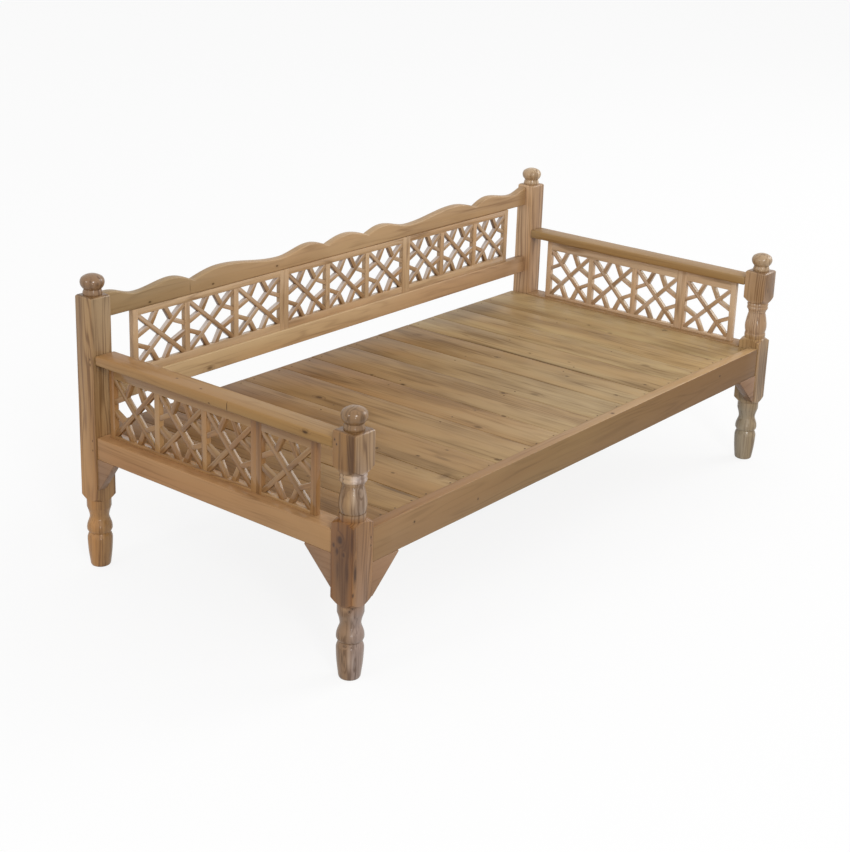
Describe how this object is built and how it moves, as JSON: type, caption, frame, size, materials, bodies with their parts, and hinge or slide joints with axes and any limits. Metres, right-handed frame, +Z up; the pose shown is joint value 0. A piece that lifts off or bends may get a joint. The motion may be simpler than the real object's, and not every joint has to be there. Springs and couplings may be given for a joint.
{
  "type": "takht daybed",
  "caption": "Wooden daybed with turned front posts, round finials, a plank deck, low lattice arms and a lattice back under a wavy crest rail, open at the front.",
  "frame": {"origin": "on the floor under the middle of the bed's outline", "axes": "+X along the bed to the right seen from the open front, +Y to the back, +Z up"},
  "size_m": [2, 0.97, 0.819],
  "materials": {
    "post_wood": "pale softwood, satin varnish, turned",
    "rail_wood": "pale softwood, satin varnish, planed",
    "lattice_wood": "pale softwood, satin varnish, sawn sticks",
    "deck_wood": "pale knotty softwood, satin varnish, planed planks",
    "inner_wood": "pale softwood, sawn, unvarnished",
    "nail_iron": "dull dark iron nail heads"
  },
  "bodies": {
    "root": {"arm_left": "rail_wood", "arm_right": "rail_wood", "back_panel_centre_frame": "lattice_wood", "back_panel_centre_sticks": "lattice_wood", "back_panel_left_frame": "lattice_wood", "back_panel_left_sticks": "lattice_wood", "back_panel_right_frame": "lattice_wood", "back_panel_right_sticks": "lattice_wood", "back_rail": "rail_wood", "bracket_front_left": "rail_wood", "bracket_front_right": "rail_wood", "bracket_rear_left": "rail_wood", "bracket_rear_right": "rail_wood", "bracket_side_front_left": "rail_wood", "bracket_side_front_right": "rail_wood", "bracket_side_rear_left": "rail_wood", "bracket_side_rear_right": "rail_wood", "crest_rail": "rail_wood", "deck_nails": "nail_iron", "finial_front_left": "post_wood", "finial_front_right": "post_wood", "finial_rear_left": "post_wood", "finial_rear_right": "post_wood", "front_bearer": "inner_wood", "front_ledger": "inner_wood", "front_rail": "rail_wood", "left_panel_long_frame": "lattice_wood", "left_panel_long_sticks": "lattice_wood", "left_panel_short_frame": "lattice_wood", "left_panel_short_sticks": "lattice_wood", "plank_01": "deck_wood", "plank_02": "deck_wood", "plank_03": "deck_wood", "plank_04": "deck_wood", "plank_05": "deck_wood", "plank_06": "deck_wood", "plank_07": "deck_wood", "plank_08": "deck_wood", "plank_09": "deck_wood", "plank_10": "deck_wood", "plank_11": "deck_wood", "plank_12": "deck_wood", "plank_13": "deck_wood", "post_front_left": "post_wood", "post_front_right": "post_wood", "post_rear_left": "post_wood", "post_rear_right": "post_wood", "rear_bearer": "inner_wood", "rear_rail": "rail_wood", "right_panel_long_frame": "lattice_wood", "right_panel_long_sticks": "lattice_wood", "right_panel_short_frame": "lattice_wood", "right_panel_short_sticks": "lattice_wood", "side_rail_left": "rail_wood", "side_rail_right": "rail_wood"}
  },
  "joints": []
}
